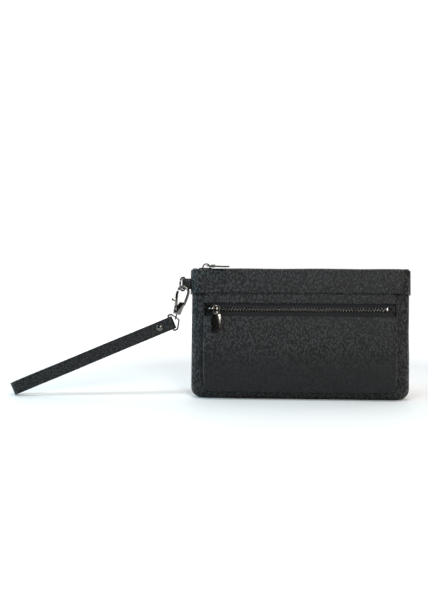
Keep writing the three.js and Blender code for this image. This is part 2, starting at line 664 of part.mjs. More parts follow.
const CROSS_REACH = 4.9;
const turn = degToRad(RING_TURN);
const lean = degToRad(HOOK_LEAN);
const HANG_Y = -CROSS_REACH * Math.sin(turn);
const crossX = TAB_X - CROSS_REACH * Math.cos(turn);
const bowAboveWire = HOOK_BOW_RADIUS - HOOK_WIRE - RING_WIRE - 1;
const bowX = crossX + 1.1;
const bowZ = RING_MIDDLE_Z - RING_HALF_HEIGHT + 0.8 - bowAboveWire;
const hookX = bowX - HOOK_LENGTH * Math.sin(lean);
const hookZ = bowZ - HOOK_LENGTH * Math.cos(lean);
const hook = group(wallet, [hookX, HANG_Y, hookZ], [0, HOOK_LEAN, 0]);

const PIVOT = [-2.4, 4.2];
const EYE_Z = -EYE_RADIUS - EYE_WIRE - 0.4;

function hookBody() {
  const half = HOOK_DEPTH / 2;
  const cheeks = outlineOf([[-3.65, 0], [3.65, 0], [5.2, 12.4], [4.2, 13.6], [2.2, 12.6], [-0.4, 12.4],
    [-1.6, 8.4], [-4.3, 7.2]]);
  const points = [[4.3, 10.5], [4.9, 15], [HOOK_BOW_RADIUS - 0.1, HOOK_LENGTH - 3]];
  for (let k = 0; k <= 6; k += 1) {
    const a = (k / 6) * degToRad(172);
    points.push([HOOK_BOW_RADIUS * Math.cos(a), HOOK_LENGTH + HOOK_BOW_RADIUS * Math.sin(a)]);
  }
  const line = new THREE.CatmullRomCurve3(points.map(([x, z]) => new THREE.Vector3(x, 0, z)));
  const slot = box(-6, 1.8, -GATE_DEPTH / 2 - GAP, GATE_DEPTH / 2 + GAP, 1.6, 14);
  return cut(
    joined(plate(cheeks, -half, half), wire(line, HOOK_WIRE, 22)),
    slot,
    pin(GATE_PIN + GAP, -4, 4, ...PIVOT, 12),
    new THREE.CylinderGeometry(1.1, 1.1, 6, 12).rotateX(Math.PI / 2),
  );
}

function hookGate() {
  const half = GATE_DEPTH / 2;
  // The tip stops below the bow's end, so that it swings in under the D-ring.
  const top = HOOK_LENGTH - GATE_TIP_DROP;
  const lever = outlineOf([[-2.4, 2.3], [-1.1, 3.3], [-0.9, 6], [-2.6, 13], [-4.1, 19], [-4.2, top],
    [-6.4, top], [-6.5, 19], [-5.2, 12], [-4.2, 6], [-3.9, 3.2]]);
  const knob = new THREE.CylinderGeometry(1.9, 1.6, 3.8, 12).rotateZ(Math.PI / 2).translate(-6.9, 0, 13.5);
  return cut(joined(plate(lever, -half, half), knob), pin(GATE_PIN + GAP, -4, 4, ...PIVOT, 12));
}

function hookSpring() {
  const outline = outlineOf([[0.2, 4.2], [0.5, 4.2], [0.3, 9.8], [0, 9.8]]);
  return plate(outline, -0.9, 0.9);
}

function swivel() {
  const ring = new THREE.TorusGeometry(EYE_RADIUS, EYE_WIRE, 8, 16);
  ring.rotateY(Math.PI / 2).translate(0, 0, EYE_Z);
  const post = new THREE.CylinderGeometry(0.8, 0.8, 2.9, 12).rotateX(Math.PI / 2).translate(0, 0, 0.7);
  const head = new THREE.CylinderGeometry(1.2, 1.2, 0.7, 12).rotateX(Math.PI / 2).translate(0, 0, 2.3);
  return joined(ring, post, head);
}

add(hook, 'hook_body', hookBody(), gunmetal);
add(hook, 'hook_gate', hookGate(), gunmetal);
add(hook, 'hook_gate_pin', pin(GATE_PIN, -HOOK_DEPTH / 2, HOOK_DEPTH / 2, ...PIVOT, 12), gunmetal);
add(hook, 'hook_spring', hookSpring(), gunmetal);
add(hook, 'hook_swivel', swivel(), gunmetal);

// ---- Strap: a doubled leather loop on a three-cornered ring --------------------------------------

// Where the strap ring's wire rests in the swivel's eye, and how far along the ring's side it is.
const restZ = EYE_Z - (EYE_RADIUS - EYE_WIRE - STRAP_RING_WIRE - GAP);
const eyeX = hookX + restZ * Math.sin(lean);
const eyeZ = hookZ + restZ * Math.cos(lean);
const ALONG = 6.9;
const RING_HALF_BAR = STRAP_WIDTH / 2 + STRAP_RING_WIRE + 3 * GAP;
const RING_SHOULDER = RING_HALF_BAR - GAP;
const ACROSS = RING_SHOULDER * (1 - (ALONG - STRAP_RING_LEG) / (STRAP_RING_REACH - STRAP_RING_LEG));

// The slope that brings the far end's lower corner down to the resting surface.
let slope = degToRad(23);
let barX = 0;
let barZ = 0;
for (let k = 0; k < 30; k += 1) {
  barX = eyeX - ALONG * Math.cos(slope) + ACROSS * Math.sin(slope);
  barZ = eyeZ - ALONG * Math.sin(slope) - ACROSS * Math.cos(slope);
  const far = Math.hypot(STRAP_LENGTH, STRAP_WIDTH / 2);
  slope = Math.asin((barZ - SEAM) / far) - Math.atan(STRAP_WIDTH / 2 / STRAP_LENGTH);
}
const strap = group(wallet, [barX, HANG_Y, barZ], [0, -THREE.MathUtils.radToDeg(slope), 0]);

const ringCorners = [[0, -RING_HALF_BAR], [STRAP_RING_LEG, -RING_SHOULDER], [STRAP_RING_REACH, 0],
  [STRAP_RING_LEG, RING_SHOULDER], [0, RING_HALF_BAR]];
add(strap, 'strap_ring', wireLoop(roundedLoop(ringCorners, 1.1), STRAP_RING_WIRE), gunmetal);

// Half the gap between the loop's two runs, at a distance from the ring's bar.
function strapGap(along, bore) {
  const closing = smoothstep(along, 0, 7);
  const opening = smoothstep(along, RIVET_FROM_BAR + 6, STRAP_LENGTH - 15);
  return lerp(bore, SEAM, closing) + (STRAP_BIGHT - SEAM) * opening;
}

// The loop's inner face moved out by `offset`, seen along the strap's width.
function strapLine(offset) {
  const bore = STRAP_RING_WIRE + GAP;
  const end = STRAP_LENGTH - STRAP_BIGHT - 2 * STRAP_LAYER - GAP;
  const points = [];
  for (let k = 0; k <= 6; k += 1) {
    const a = lerp(Math.PI / 2, 0, k / 6);
    points.push([(bore + offset) * Math.cos(a), (bore + offset) * Math.sin(a)]);
  }
  const lower = points.slice(0, -1).map(([x, y]) => [x, -y]);
  const stations = [2, 3.5, 5, 7, RIVET_FROM_BAR - 2, RIVET_FROM_BAR + 2, 35, 60, 85, 110, 135, end - 8];
  const top = stations.map((along) => [-along, strapGap(along, bore) + offset]);
  const bight = [];
  for (let k = 0; k <= 8; k += 1) {
    const a = lerp(Math.PI / 2, (3 * Math.PI) / 2, k / 8);
    bight.push([-end + (STRAP_BIGHT + offset) * Math.cos(a), (STRAP_BIGHT + offset) * Math.sin(a)]);
  }
  const bottom = top.map(([x, y]) => [x, -y]).toReversed();
  return [...top, ...bight, ...bottom, ...lower, ...points.toReversed()];
}

function strapLayer(inner, outer, name) {
  const toVectors = (list) => list.map(([x, y]) => new THREE.Vector2(x, y));
  const shape = new THREE.Shape(toVectors(strapLine(outer)));
  shape.holes.push(new THREE.Path(toVectors(strapLine(inner)).toReversed()));
  const half = STRAP_WIDTH / 2;
  const hole = new THREE.CylinderGeometry(RIVET_POST + GAP, RIVET_POST + GAP, 12, 14);
  add(strap, name, cut(prism(shape, -half, half), hole.translate(-RIVET_FROM_BAR, 0, 0)), leather);
}
strapLayer(0, STRAP_LAYER, 'strap_inner');
strapLayer(STRAP_LAYER + GAP, 2 * STRAP_LAYER + GAP, 'strap_outer');

// The rivet stands square to the strap and holds the runs together.
const runDepth = SEAM + 2 * STRAP_LAYER + GAP;
const rivet = group(strap, [-RIVET_FROM_BAR, 0, 0]);
const capProfile = [[0, 0], [RIVET_CAP, 0], [RIVET_CAP, 0.4], [2.6, 1.1], [1.3, 1.5], [0, 1.6]];
const cap = new THREE.LatheGeometry(capProfile.map(([r, y]) => new THREE.Vector2(r, y)), 16);
const postBack = runDepth + GAP + 0.8;
const post = new THREE.CylinderGeometry(RIVET_POST, RIVET_POST, runDepth + postBack - 0.4, 14);
const foot = new THREE.CylinderGeometry(RIVET_CAP - 0.4, RIVET_CAP - 0.4, 0.8, 16);
add(rivet, 'rivet_cap', cap.rotateX(Math.PI).translate(0, -runDepth - GAP, 0), gunmetal);
const postMiddle = (postBack - 0.4 - runDepth) / 2;
post.translate(0, postMiddle, 0);
foot.translate(0, postBack - 0.4, 0);
add(rivet, 'rivet_post', joined(post, foot), gunmetal);

export default wallet;
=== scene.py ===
"""Looks of the wristlet wallet: pebbled leather, metal zips, swivel hook and wrist strap."""
import json
import math

import bmesh
import bpy
from mathutils import Matrix, Vector, noise


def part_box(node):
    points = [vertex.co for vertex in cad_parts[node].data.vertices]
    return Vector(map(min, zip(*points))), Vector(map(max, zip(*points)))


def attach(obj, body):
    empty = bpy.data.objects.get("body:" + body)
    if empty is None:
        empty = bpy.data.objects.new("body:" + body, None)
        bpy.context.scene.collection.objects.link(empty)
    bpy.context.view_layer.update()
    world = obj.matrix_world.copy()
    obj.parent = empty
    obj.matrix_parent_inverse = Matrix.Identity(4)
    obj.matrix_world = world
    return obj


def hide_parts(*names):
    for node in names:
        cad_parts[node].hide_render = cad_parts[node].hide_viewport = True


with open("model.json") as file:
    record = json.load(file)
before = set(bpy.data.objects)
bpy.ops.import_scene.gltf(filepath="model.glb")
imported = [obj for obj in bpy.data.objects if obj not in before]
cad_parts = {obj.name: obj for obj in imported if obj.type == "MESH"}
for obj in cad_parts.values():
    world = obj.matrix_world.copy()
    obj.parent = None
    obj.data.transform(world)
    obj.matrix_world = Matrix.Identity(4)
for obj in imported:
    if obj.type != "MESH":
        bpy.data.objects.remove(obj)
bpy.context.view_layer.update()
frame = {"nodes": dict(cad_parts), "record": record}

MM = 0.001
RECORD = frame["record"]
BODY_OF = {node: body for body, nodes in RECORD["behaviour"]["bodies"].items() for node in nodes}

# ---- Sizes in millimetres, as the CAD has them ---------------------------------------------------
LEATHER = 1.2
GAP = 0.3
SEAM = 0.15
POUCH_HEIGHT = 129
HALF_WIDTH_TOP = 108
HALF_WIDTH_BASE = 109.5
BASE_HALF_DEPTH = 7.5
LOWER_HALF_DEPTH = 10.4
BELLY_HALF_DEPTH = 11
BELLY_Z = 45
MOUTH_HALF_DEPTH = 6
BASE_ROUND = 8
CORNER_RADIUS = 10
SIDE_REACH = 10
PANEL_TOP = 118
YOKE_BOTTOM = 106.5
YOKE_TOP = 129.9
YOKE_TOP_DEPTH = 7.5
MOUTH_CHANNEL = 4.9
POCKET_HALF_WIDTH = 96
POCKET_BOTTOM = 7.7
POCKET_CORNER = 12
POCKET_ROUND = 4
POCKET_TOP_DEPTH = 18
POCKET_TILT = 12
POCKET_KNEE_Z = 75
POCKET_SAG = 15
BAND_TOP = 113
BAND_BOTTOM = 96.1
LOWER_TOP = 83.9
GUSSET_TOP = 99
STRAP_LENGTH = 177
STRAP_WIDTH = 13
STRAP_LAYER = 1
STRAP_BIGHT = 4.6
STRAP_BORE = 1.2
RIVET_FROM_BAR = 12


def lerp(a, b, t):
    return a + (b - a) * t


def smoothstep(x, low, high):
    t = min(max((x - low) / (high - low), 0), 1)
    return t * t * (3 - 2 * t)


def ripple(x, y, z, scale, amount):
    """Smooth seeded unevenness, in millimetres."""
    return amount * noise.noise(Vector((x, y, z)) / scale)


# ---- Materials -----------------------------------------------------------------------------------
class Shader:
    """A material's node tree, built by short calls."""

    def __init__(self, name):
        self.material = bpy.data.materials.new(name)
        self.material.use_nodes = True
        self.tree = self.material.node_tree
        self.surface = self.tree.nodes["Principled BSDF"]
        self.place = self.tree.nodes.new("ShaderNodeTexCoord").outputs["Object"]

    def node(self, kind, inputs=None, **settings):
        made = self.tree.nodes.new("ShaderNode" + kind)
        for key, value in settings.items():
            setattr(made, key, value)
        for key, value in (inputs or {}).items():
            if isinstance(value, bpy.types.NodeSocket):
                self.tree.links.new(value, made.inputs[key])
            else:
                made.inputs[key].default_value = value
        return made

    def link(self, output, key):
        self.tree.links.new(output, self.surface.inputs[key])

    def noise(self, size_mm, detail=3.0, vector=None):
        inputs = {"Vector": vector or self.place, "Scale": 1 / (size_mm * MM), "Detail": detail}
        return self.node("TexNoise", inputs).outputs["Fac"]

    def remap(self, value, low, high, to_low, to_high):
        inputs = {"Value": value, "From Min": low, "From Max": high, "To Min": to_low, "To Max": to_high}
        return self.node("MapRange", inputs).outputs["Result"]

    def colour(self, factor, dark, light):
        mix = self.node("Mix", {"Factor": factor}, data_type="RGBA")
        mix.inputs["A"].default_value = (*dark, 1)
        mix.inputs["B"].default_value = (*light, 1)
        return mix.outputs["Result"]

    def math(self, operation, a, b):
        return self.node("Math", {0: a, 1: b}, operation=operation).outputs[0]

    def bump(self, height, distance_mm, strength=1.0, normal=None):
        inputs = {"Height": height, "Distance": distance_mm * MM, "Strength": strength}
        if normal:
            inputs["Normal"] = normal
        return self.node("Bump", inputs).outputs["Normal"]


def leather(name, cell_mm, depth_mm, dark, light, smooth_and_shaded_below=None):
    """Pebbled hide: rounded cells parted by fine creases, with pores and soft mottling; the creases carry
    painted shade, darker in colour and lower in specular level.
    """
    s = Shader(name)
    wander = s.node("TexNoise", {"Vector": s.place, "Scale": 1 / (3.2 * MM), "Detail": 2.0})
    shift = s.node("VectorMath", {0: wander.outputs["Color"], 1: (0.5, 0.5, 0.5)}, operation="SUBTRACT")
    spread = s.node("VectorMath", {0: shift.outputs[0], "Scale": 1.1 * MM}, operation="SCALE")
    place = s.node("VectorMath", {0: s.place, 1: spread.outputs[0]}, operation="ADD").outputs[0]
    place = s.node("Mapping", {"Vector": place, "Scale": (1.0, 0.3, 0.62)}).outputs[0]
    scale = {"Vector": place, "Scale": 1 / (cell_mm * MM), "Smoothness": 0.35}
    cells = s.node("TexVoronoi", scale, feature="SMOOTH_F1")
    pebble = s.remap(cells.outputs["Distance"], 0.1, 0.62, 1.0, 0.0)
    lower = None
    if smooth_and_shaded_below is not None:
        z = s.node("SeparateXYZ", {0: s.place}).outputs["Z"]
        # Below this height the grain fades out and the specular level is pulled towards 0.3, a painted shade
        # on the lower pocket.
        lower = s.remap(z, (smooth_and_shaded_below - 12) * MM, (smooth_and_shaded_below + 14) * MM, 0.12, 1.0)
    small = s.node("TexVoronoi", {"Vector": place, "Scale": 2.3 / (cell_mm * MM)}, feature="SMOOTH_F1")
    fine = s.noise(0.35, 4.0)
    height = s.math("ADD", pebble, s.math("MULTIPLY", small.outputs["Distance"], -0.08))
    height = s.math("ADD", height, s.math("MULTIPLY", fine, 0.02))
    if lower is not None:
        height = s.math("MULTIPLY", height, lower)
    mottle = s.noise(22, 4.0)
    wear = s.node("NewGeometry").outputs["Pointiness"]
    # Painted shade: the pebble term darkens the base colour in the creases; the mottle is the hide's own
    # tone.
    tone = s.math("ADD", s.math("MULTIPLY", pebble, 0.55), s.math("MULTIPLY", mottle, 0.45))
    tone = s.math("ADD", tone, s.remap(wear, 0.52, 0.6, 0.0, 0.35))
    s.link(s.colour(tone, dark, light), "Base Color")
    rough = s.math("ADD", s.remap(pebble, 0.0, 1.0, 0.52, 0.27), s.remap(s.noise(9), 0.3, 0.7, -0.05, 0.07))
    s.link(rough, "Roughness")
    s.link(s.bump(height, depth_mm, 1.0), "Normal")
    # Painted shade: the specular level drops from 0.56 on the pebble tops to 0.26 in the creases, standing in
    # for cavity occlusion.
    gloss_with_painted_shade = s.remap(pebble, 0.0, 0.6, 0.26, 0.56)
    # Painted shade: towards the bottom the specular level is mixed down to 0.3.
    if lower is not None:
        gloss_with_painted_shade = s.node("Mix", {"Factor": lower, "A": 0.3, "B": gloss_with_painted_shade}).outputs["Result"]
    s.link(gloss_with_painted_shade, "Specular IOR Level")
    return s.material


def metal(name, tint, roughness):
    """Polished black nickel: faint haze, hairline scratches and edges worn a little brighter."""
    s = Shader(name)
    haze = s.noise(1.6, 4.0)
    stretch = s.node("Mapping", {"Vector": s.place, "Scale": (1.0, 7.0, 1.0)}).outputs[0]
    scratch = s.noise(0.5, 5.0, stretch)
    edge = s.remap(s.node("NewGeometry").outputs["Pointiness"], 0.51, 0.6, 0.0, 1.0)
    tone = s.math("ADD", s.math("MULTIPLY", haze, 0.4), s.math("MULTIPLY", edge, 0.6))
    bright = tuple(min(c * 2.1, 1) for c in tint)
    s.link(s.colour(tone, tint, bright), "Base Color")
    s.link(s.remap(scratch, 0.2, 0.8, roughness * 0.7, roughness * 1.6), "Roughness")
    s.link(s.bump(scratch, 0.002, 0.35), "Normal")
    s.surface.inputs["Metallic"].default_value = 1.0
    return s.material


def woven(name, pitch_mm, dark, light, roughness):
    """Plain weave: crossed threads with a little slub."""
    s = Shader(name)
    split = s.node("SeparateXYZ", {0: s.place})
    waves = []
    for axis in ("X", "Z"):
        turns = s.math("MULTIPLY", split.outputs[axis], 2 * math.pi / (pitch_mm * MM))
        waves.append(s.node("Math", {0: turns}, operation="SINE").outputs[0])
    weave = s.math("MULTIPLY", waves[0], waves[1])
    slub = s.noise(1.4, 4.0)
    height = s.math("ADD", weave, slub)
    s.link(s.colour(s.remap(height, -0.6, 1.6, 0.0, 1.0), dark, light), "Base Color")
    s.surface.inputs["Specular IOR Level"].default_value = 0.25
    s.link(s.remap(slub, 0.3, 0.7, roughness - 0.08, roughness + 0.05), "Roughness")
    s.link(s.bump(height, 0.04, 0.8), "Normal")
    s.surface.inputs["Sheen Weight"].default_value = 0.04
    return s.material


HIDE_DARK = (0.0016, 0.0018, 0.0023)
HIDE_LIGHT = (0.006, 0.0065, 0.0078)
hide = leather("pebbled_leather", 1.7, 0.5, HIDE_DARK, HIDE_LIGHT)
# The pocket hide carries painted shade low down: flatter grain and a lower specular level below 42 mm.
pocket_hide = leather("pocket_leather", 1.7, 0.46, HIDE_DARK, HIDE_LIGHT, smooth_and_shaded_below=42)
strap_hide = leather("strap_leather", 1.2, 0.12, HIDE_DARK, HIDE_LIGHT)
tape = woven("zip_tape", 0.55, (0.004, 0.004, 0.005), (0.018, 0.018, 0.02), 0.85)
cloth = woven("lining_cloth", 0.45, (0.012, 0.012, 0.015), (0.03, 0.03, 0.036), 0.8)
gunmetal = metal("black_nickel", (0.1, 0.096, 0.088), 0.15)
tooth_metal = metal("tooth_metal", (0.05, 0.048, 0.044), 0.2)


# ---- Mesh helpers --------------------------------------------------------------------------------
def finish_piece(name, bm, body, material, replaced=(), levels=0, sharp=False):
    """Turns a bmesh in metres into a smooth piece that rides on a body."""
    mesh = bpy.data.meshes.new(name)
    bmesh.ops.recalc_face_normals(bm, faces=bm.faces)
    bm.to_mesh(mesh)
    bm.free()
    piece = bpy.data.objects.new(name, mesh)
    bpy.context.scene.collection.objects.link(piece)
    if levels:
        piece.modifiers.new("round", "SUBSURF").levels = levels
        bake(piece)
    for polygon in piece.data.polygons:
        polygon.use_smooth = True
    piece.data.materials.clear()
    piece.data.materials.append(material)
    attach(piece, body)
    if replaced:
        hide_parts(*replaced)
    return piece


def bake(piece):
    """Applies every modifier."""
    graph = bpy.context.evaluated_depsgraph_get()
    result = bpy.data.meshes.new_from_object(piece.evaluated_get(graph))
    piece.modifiers.clear()
    piece.data = result


def sheet_bmesh(columns, rows, place):
    """A closed sheet: a grid of points on each face, place(column, row, layer) in millimetres."""
    bm = bmesh.new()
    grid = {}
    for layer in (0, 1):
        for i, column in enumerate(columns):
            for j, row in enumerate(rows):
                grid[layer, i, j] = bm.verts.new(Vector(place(column, row, layer)) * MM)
    wide, tall = len(columns) - 1, len(rows) - 1

    def face(*keys):
        bm.faces.new([grid[key] for key in keys])

    for i in range(wide):
        for j in range(tall):
            face((1, i, j), (1, i + 1, j), (1, i + 1, j + 1), (1, i, j + 1))
            face((0, i, j + 1), (0, i + 1, j + 1), (0, i + 1, j), (0, i, j))
        face((0, i, 0), (0, i + 1, 0), (1, i + 1, 0), (1, i, 0))
        face((1, i, tall), (1, i + 1, tall), (0, i + 1, tall), (0, i, tall))
    for j in range(tall):
        face((1, 0, j), (1, 0, j + 1), (0, 0, j + 1), (0, 0, j))
        face((0, wide, j), (0, wide, j + 1), (1, wide, j + 1), (1, wide, j))
    bmesh.ops.remove_doubles(bm, verts=bm.verts, dist=1e-7)
    return bm


def side_columns(steps, flat_steps):
    """Columns that wrap both sides: (side, angle from the flat face, place across the flat)."""
    quarter = [k / steps * math.pi / 2 for k in range(steps, 0, -1)]
    left = [(-1, a, 0) for a in quarter]
    flat = [(0, 0, lerp(-1, 1, k / flat_steps)) for k in range(flat_steps + 1)]
    return left + flat + [(1, a, 0) for a in reversed(quarter)]


def across(column, flat_half, reach):
    """x of a column, where the flat face ends at flat_half and the side reaches on past it."""
    side, a, share = column
    if side == 0:
        return flat_half * share
    return side * (flat_half + reach * math.sin(a))


def steps_between(low, high, count):
    return [lerp(low, high, k / count) for k in range(count + 1)]


# ---- Pouch ---------------------------------------------------------------------------------------
def half_width(z):
    return lerp(HALF_WIDTH_BASE, HALF_WIDTH_TOP, z / POUCH_HEIGHT)


def pouch_depth(z):
    lower = lerp(LOWER_HALF_DEPTH, BELLY_HALF_DEPTH, min(z / BELLY_Z, 1))
    return lerp(lower, MOUTH_HALF_DEPTH, smoothstep(z, BELLY_Z, POUCH_HEIGHT))


def pocket_depth(z):
    slope = math.tan(math.radians(POCKET_TILT))
    below = max(POCKET_KNEE_Z - z, 0) / (POCKET_KNEE_Z - POCKET_BOTTOM)
    return POCKET_TOP_DEPTH + slope * (POCKET_KNEE_Z - z) - POCKET_SAG * below ** 2


def pouch_panel(facing, name, node):
    """One half of the pouch, from the seam under the base up to behind the yoke."""
    rows = [("base", 0), ("base", 0.5), ("base", 1)]
    rows += [("turn", k / 6 * math.pi / 2) for k in range(1, 6)]
    rows += [("wall", z) for z in steps_between(BASE_ROUND, PANEL_TOP, 34)]

    def place(column, row, layer):
        inset = 0 if layer else LEATHER
        kind, value = row
        turn = {"base": 0, "turn": value, "wall": math.pi / 2}[kind]
        z = value if kind == "wall" else BASE_ROUND - (BASE_ROUND - inset) * math.cos(turn)
        depth = pouch_depth(z) - inset
        if kind != "wall":
            depth = lerp(BASE_HALF_DEPTH, pouch_depth(BASE_ROUND) - inset, math.sin(turn))
        if kind == "base":
            depth = lerp(SEAM + facing, BASE_HALF_DEPTH, value)
        rim = half_width(z) - CORNER_RADIUS + (CORNER_RADIUS - inset) * math.sin(turn)
        reach = SIDE_REACH - inset
        x = across(column, rim - reach, reach)
        rounded = 1 - math.cos(column[1])
        corner = CORNER_RADIUS - (CORNER_RADIUS - inset) * math.cos(turn)
        lift = corner - z
        if kind == "wall":
            lift = (CORNER_RADIUS - BASE_ROUND) * (1 - (z - BASE_ROUND) / (PANEL_TOP - BASE_ROUND))
        uneven = math.cos(column[1]) * smoothstep(z, 4, 20)
        depth += uneven * (ripple(x, facing * 7, z, 38, 0.35) + ripple(x, facing * 3, z, 13, 0.14))
        x += (1 if x > 0 else -1) * rounded * ripple(x, 0, z, 26, 0.35) * smoothstep(z, 6, 20)
        y = facing * (SEAM + (depth - SEAM) * math.cos(column[1]))
        return x, y, z + lift * rounded

    bm = sheet_bmesh(side_columns(8, 60), rows, place)
    return finish_piece(name, bm, "pouch", hide, [node], levels=1)


pouch_panel(-1, "leather_front", "front_panel")
pouch_panel(1, "leather_back", "back_panel")


# ---- Yoke ----------------------------------------------------------------------------------------
def bend_profile(points, steps):
    """A smooth line through the points: (depth, z) pairs with the corners rounded."""
    line = []
    for k in range(len(points) - 1):
        before = points[max(k - 1, 0)]
        a, b = points[k], points[k + 1]
        after = points[min(k + 2, len(points) - 1)]
        for step in range(steps):
            t = step / steps
            line.append(tuple(
                0.5 * (2 * a[n] + (b[n] - before[n]) * t
                       + (2 * before[n] - 5 * a[n] + 4 * b[n] - after[n]) * t * t
                       + (3 * a[n] - before[n] - 3 * b[n] + after[n]) * t ** 3)
                for n in (0, 1)))
    return line + [points[-1]]


def yoke(facing, name, node):
    """The band round the mouth: it drapes over the pocket and turns in at the top."""
    over = LEATHER + GAP
    low = pocket_depth(YOKE_BOTTOM) if facing < 0 else pouch_depth(YOKE_BOTTOM)
    middle_z = BAND_TOP + 2.5 if facing < 0 else (YOKE_BOTTOM + POUCH_HEIGHT) / 2
    middle = pocket_depth(BAND_TOP) - 0.4 if facing < 0 else pouch_depth(YOKE_BOTTOM)
    key = [(low + over, YOKE_BOTTOM), (middle + over, middle_z), (YOKE_TOP_DEPTH + 0.5, YOKE_TOP - 3),
           (YOKE_TOP_DEPTH, YOKE_TOP - 1), (YOKE_TOP_DEPTH - 1, YOKE_TOP), (MOUTH_CHANNEL, YOKE_TOP)]
    profile = bend_profile(key, 4)
    rows = []
    for k, point in enumerate(profile):
        after = profile[min(k + 1, len(profile) - 1)]
        before = profile[max(k - 1, 0)]
        along = Vector((after[0] - before[0], after[1] - before[1])).normalized()
        rows.append((k, point, (point[0] - along.y * LEATHER, point[1] + along.x * LEATHER)))
    reach = SIDE_REACH + LEATHER + GAP

    def place(column, row, layer):
        k, outer, inner = row
        depth, z = outer if layer else inner
        inset = 0 if layer else LEATHER
        rim = half_width(YOKE_BOTTOM) + GAP + LEATHER - 0.3 * smoothstep(z, YOKE_BOTTOM, YOKE_TOP)
        x = across(column, rim - reach, reach - inset)
        rounded = 1 - math.cos(column[1])
        drop = 3 * (1 - smoothstep(z, YOKE_BOTTOM, YOKE_BOTTOM + 9))
        drop += 2 * smoothstep(z, YOKE_TOP - 4, YOKE_TOP)
        free = 1 - smoothstep(z, YOKE_BOTTOM + 4, YOKE_TOP - 2)
        depth += math.cos(column[1]) * (ripple(x, facing * 9, z, 30, 0.3) * (0.4 + free)
                                         + 0.22 * free * math.sin(x / 11))
        z += ripple(x, 0, 0, 40, 0.35)
        return x, facing * (SEAM + (depth - SEAM) * math.cos(column[1])), z - drop * rounded

    bm = sheet_bmesh(side_columns(9, 80), rows, place)
    return finish_piece(name, bm, "pouch", hide, [node], levels=1)


front_yoke = yoke(-1, "leather_yoke_front", "front_yoke")
back_yoke = yoke(1, "leather_yoke_back", "back_yoke")


# ---- Front pocket --------------------------------------------------------------------------------
def pocket_place(column, row, layer):
    inset = 0 if layer else LEATHER
    kind, value, lift = row
    turn = value if kind == "turn" else math.pi / 2
    z = value if kind == "wall" else POCKET_BOTTOM + POCKET_ROUND - (POCKET_ROUND - inset) * math.cos(turn)
    rim = POCKET_HALF_WIDTH - POCKET_CORNER + (POCKET_CORNER - inset) * math.sin(turn)
    rounded = 1 - math.cos(column[1])
    corner = POCKET_BOTTOM + POCKET_CORNER - (POCKET_CORNER - inset) * math.cos(turn)
    z += (corner - z if kind == "turn" else lift) * rounded
    reach = POCKET_ROUND - inset
    x = across(column, rim - POCKET_ROUND, reach)
    edge = max(pocket_depth(z) - POCKET_ROUND, pouch_depth(z) + GAP)
    swell = math.sin(turn) * math.cos(column[1])
    depth = lerp(edge, pocket_depth(z) - inset, swell)
    near_side = smoothstep(abs(x), 70, 94)
    depth += swell * (ripple(x, 5, z, 34, 0.5) + near_side * ripple(x, 2, z * 2.2, 9, 0.4))
    return x, -depth, z


def pocket_rows(low, high, count):
    return [("wall", z, 0) for z in steps_between(low, high, count)]


turning = [("turn", k / 6 * math.pi / 2, 0) for k in range(6)]
rise = POCKET_CORNER - POCKET_ROUND
corner_rows = [("wall", lerp(POCKET_BOTTOM + POCKET_ROUND, 27, t), rise * (1 - t))
               for t in (0, 0.25, 0.5, 0.75)]
lower_rows = turning + corner_rows + pocket_rows(27, LOWER_TOP, 22)
pocket_front = finish_piece(
    "leather_pocket", sheet_bmesh(side_columns(5, 64), lower_rows, pocket_place), "pouch",
    pocket_hide, ["pocket_panel"], levels=1)
band_rows = pocket_rows(BAND_BOTTOM, BAND_TOP, 7)
pocket_band = finish_piece(
    "leather_pocket_band", sheet_bmesh(side_columns(5, 64), band_rows, pocket_place), "pouch",
    hide, ["pocket_top_band"], levels=1)


def gusset():
    """The strip round the pocket's sides and bottom."""
    stations = [(x, POCKET_BOTTOM, 0) for x in steps_between(0, 80, 20)]
    for k in range(9):
        turn = k / 8 * math.pi / 2
        x = POCKET_HALF_WIDTH - POCKET_CORNER + POCKET_CORNER * math.sin(turn)
        stations.append((x, POCKET_BOTTOM + POCKET_CORNER - POCKET_CORNER * math.cos(turn), turn))
    stations += [(POCKET_HALF_WIDTH, z, math.pi / 2) for z in steps_between(24, GUSSET_TOP, 22)]
    stations = [(-x, z, -turn) for x, z, turn in reversed(stations[1:])] + stations

    def place(station, share, layer):
        x, z, turn = station
        inset = 0 if layer else LEATHER
        depth = lerp(pouch_depth(z) + GAP, pocket_depth(z) - POCKET_ROUND - GAP, share)
        tuck = inset + 0.7 * math.sin(share * math.pi)
        return x - tuck * math.sin(turn), -depth, z + tuck * math.cos(turn)

    bm = sheet_bmesh(stations, steps_between(0, 1, 4), place)
    return finish_piece("leather_gusset", bm, "pouch", hide, ["pocket_gusset"], levels=1)


gusset()


# ---- Linings, card slots, side tab and zip ends --------------------------------------------------
def wall_sheet(name, node, half, depth_at, low, high, thick, material):
    """A sheet that hangs across the pouch at a depth, a little uneven as cloth is."""
    def place(x, z, layer):
        loose = ripple(x, depth_at(z), z, 24, 0.12)
        return x, depth_at(z) + loose - (0 if layer else thick), z

    bm = sheet_bmesh(steps_between(-half, half, 30), steps_between(low, high, 20), place)
    return finish_piece(name, bm, "pouch", material, [node], levels=1)


def limits(node):
    """A CAD node's box in millimetres."""
    low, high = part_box(node)
    return low / MM, high / MM


